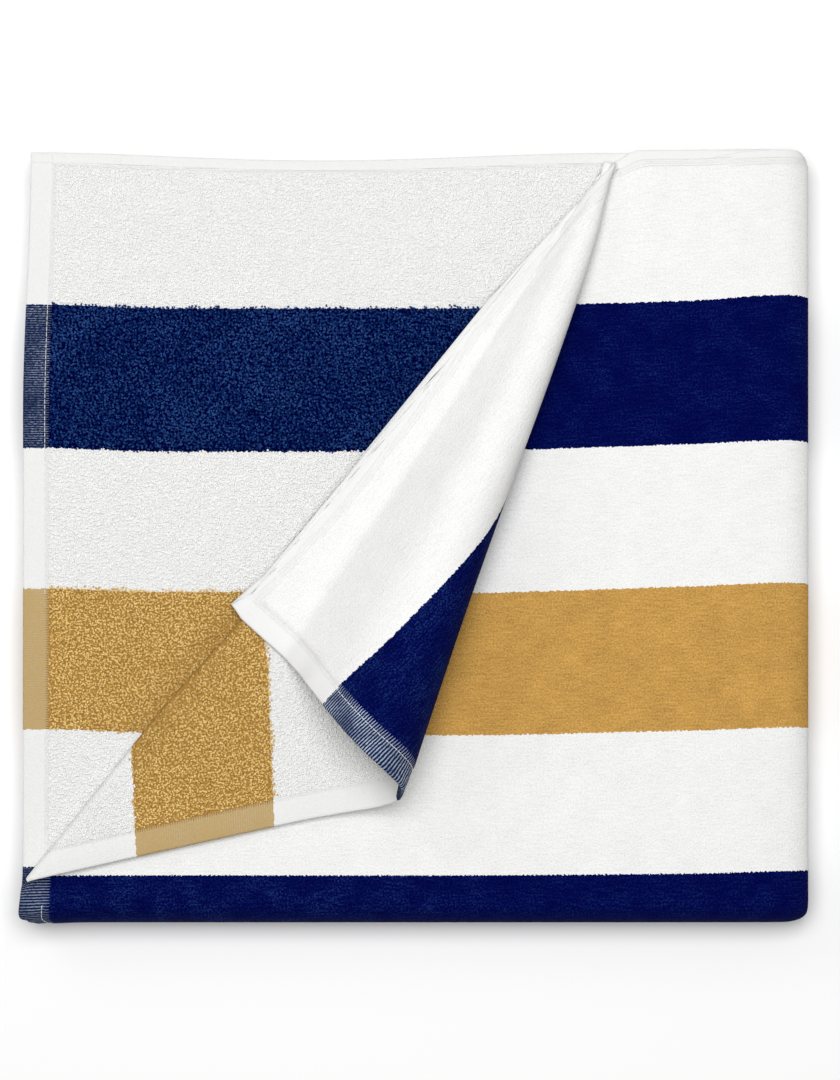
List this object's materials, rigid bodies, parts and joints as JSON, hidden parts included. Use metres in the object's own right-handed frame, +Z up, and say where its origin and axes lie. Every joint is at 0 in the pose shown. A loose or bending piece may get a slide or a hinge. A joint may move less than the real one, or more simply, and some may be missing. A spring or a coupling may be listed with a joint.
{
  "type": "folded beach towel",
  "caption": "Striped velour beach towel folded into a square stack, with the corner of its top layer turned back to show the looped side.",
  "frame": {"origin": "centre of the footprint on the surface it rests on", "axes": "+X along the towel's length towards the big folded edge, +Y across its width towards the selvages, +Z up from the surface"},
  "size_m": [0.3818, 0.3748, 0.0809],
  "materials": {
    "towel_cotton": "sheared velour face and looped terry back, matt"
  },
  "bodies": {
    "root": {"towel": "towel_cotton"}
  },
  "joints": []
}
